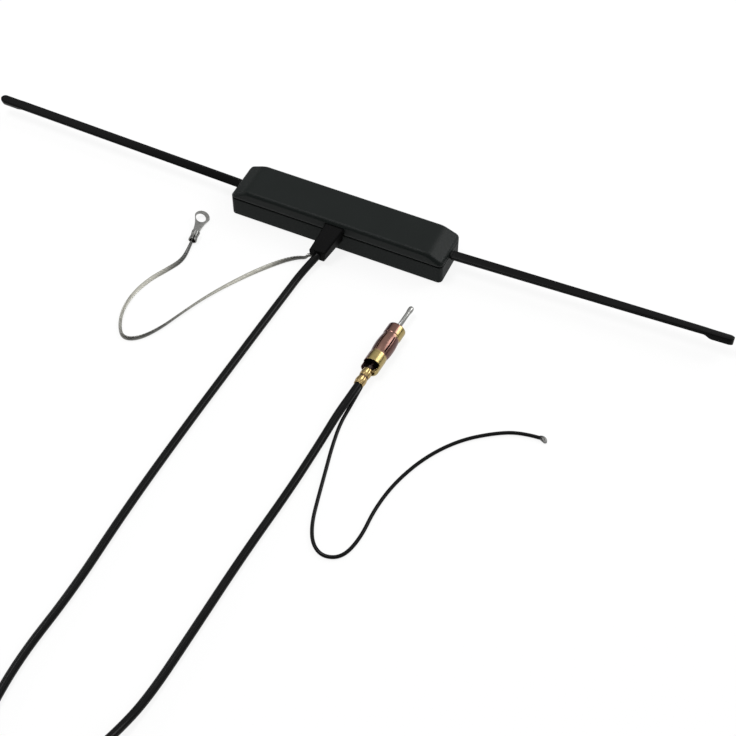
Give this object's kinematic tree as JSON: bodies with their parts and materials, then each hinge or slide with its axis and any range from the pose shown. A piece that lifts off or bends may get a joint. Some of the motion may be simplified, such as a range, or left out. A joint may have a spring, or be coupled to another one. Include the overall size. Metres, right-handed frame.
{
  "type": "car windshield radio antenna",
  "caption": "Amplified car radio antenna for a windshield: flat box with a whip to each side, coax lead with a car aerial plug, earth lead with ring terminal and power lead.",
  "frame": {"origin": "centre of the adhesive pad's underside, where the box sits on the glass", "axes": "+X along the whips, -Y the way the leads leave the box, +Z away from the glass"},
  "size_m": [0.4126, 0.3909, 0.0174],
  "materials": {
    "housing": "fine matte texture",
    "whip": "smooth moulded",
    "gland": "soft satin",
    "jacket": "satin cable jacket",
    "tinned": "tinned strands",
    "terminal": "tin plate",
    "sleeve": "yellow passivated plate",
    "pin": "nickel plate",
    "insulator": "dark moulding",
    "board": "solder mask",
    "electronics": "moulded case",
    "copper": "bare metal",
    "can": "drawn can",
    "steel": "zinc plate",
    "foam": "foam tape",
    "tie": "moulded strap"
  },
  "bodies": {
    "root": {"lower_shell": "housing", "upper_cover": "housing", "housing_screws": "steel", "adhesive_pad": "foam", "circuit_board": "board", "transistor": "electronics", "choke": "copper", "capacitors": "can", "resistors": "electronics", "whip_clips": "copper", "board_lugs": "copper", "coax_entry": "jacket", "earth_entry": "tinned", "cable_gland": "gland", "plug_sleeve": "sleeve", "plug_insulator": "insulator", "plug_pin": "pin", "plug_crimp": "sleeve", "plug_core": "copper", "ring_terminal": "terminal", "coax_coil": "jacket", "coil_tie": "tie", "left_whip": "whip", "right_whip": "whip", "left_whip_wire": "steel", "right_whip_wire": "steel", "coax_lead_out": "jacket", "coax_lead_plug": "jacket", "earth_lead": "tinned", "power_lead": "jacket", "power_lead_tip": "tinned"}
  },
  "joints": []
}
